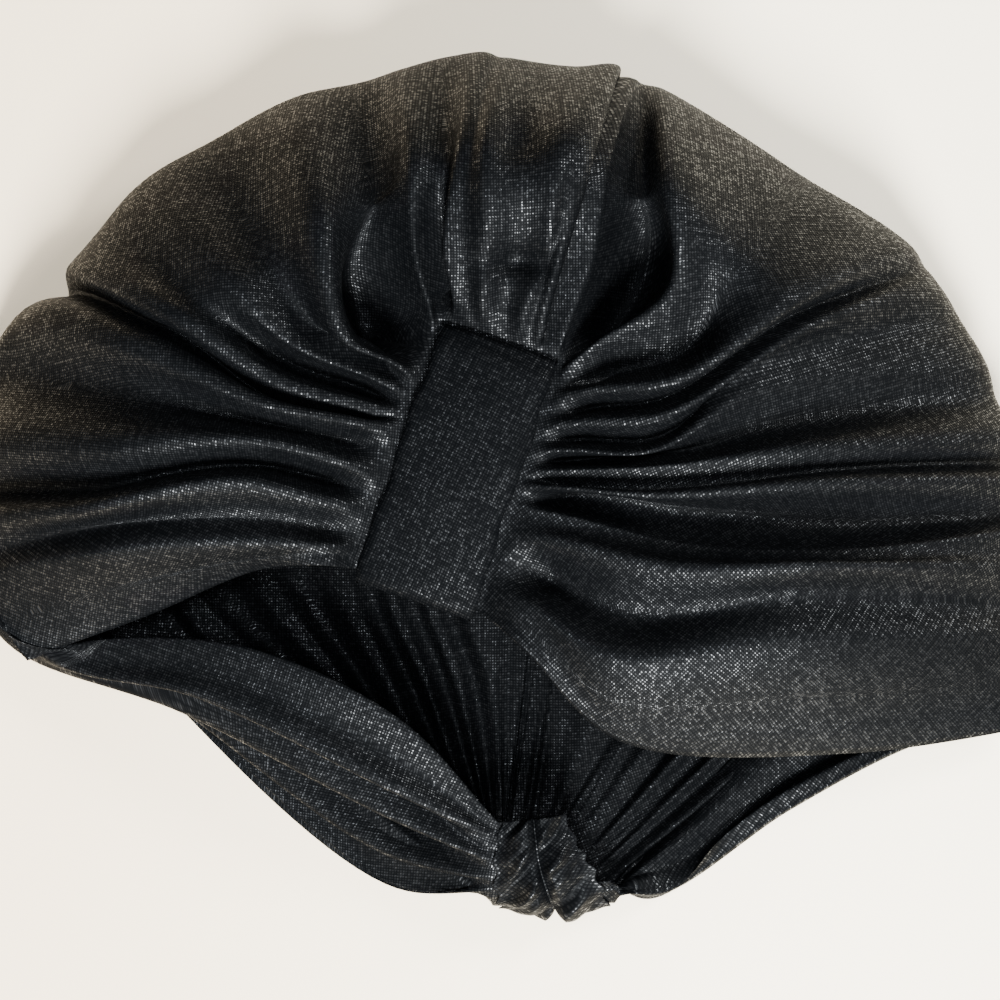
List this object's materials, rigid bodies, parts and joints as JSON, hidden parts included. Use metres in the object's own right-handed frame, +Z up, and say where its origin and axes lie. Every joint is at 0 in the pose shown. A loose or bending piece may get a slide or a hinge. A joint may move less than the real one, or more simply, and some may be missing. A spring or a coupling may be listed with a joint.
{
  "type": "pleated turban headwrap",
  "caption": "Pre-tied turban of stretch cloth, its pleats gathered under a front tab and at the nape, lying on its back with the head opening free.",
  "frame": {"origin": "bottom centre of the turban as it lies on its back", "axes": "+Z up, out of the front of the turban; +Y toward the crown, so the head opening faces -Y; +X to the right as seen from above"},
  "size_m": [0.2836, 0.2276, 0.0614],
  "materials": {
    "black_cloth": "black stretch cloth in a fine plain weave with a soft sheen"
  },
  "bodies": {
    "root": {"pleated_wrap": "black_cloth", "front_tab": "black_cloth", "nape_gather": "black_cloth"}
  },
  "joints": []
}
